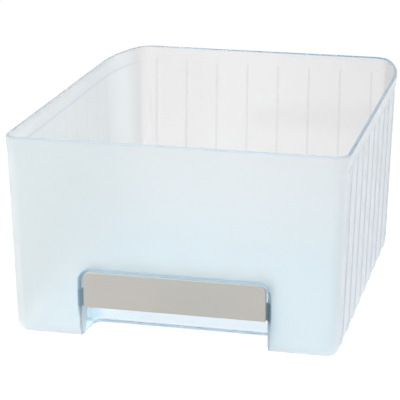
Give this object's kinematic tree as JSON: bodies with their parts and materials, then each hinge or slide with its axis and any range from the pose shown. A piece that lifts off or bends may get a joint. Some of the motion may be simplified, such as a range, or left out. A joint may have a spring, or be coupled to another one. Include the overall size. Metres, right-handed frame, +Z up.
{
  "type": "fridge crisper drawer",
  "caption": "Clear open-topped moulded drawer for a fridge, with ribbed swept-in sides, a stepped rim and a front finger recess behind a grey grip plate.",
  "frame": {"origin": "under the middle of the drawer, on the plane it stands on", "axes": "+X to the right of someone who faces the front, +Y from the front to the back, +Z up"},
  "size_m": [0.3, 0.4, 0.181],
  "materials": {
    "clear_plastic": "clear gloss, pale blue tint",
    "grey_plastic": "satin"
  },
  "bodies": {
    "root": {"drawer_body": "clear_plastic", "handle_plate": "grey_plastic"}
  },
  "joints": []
}
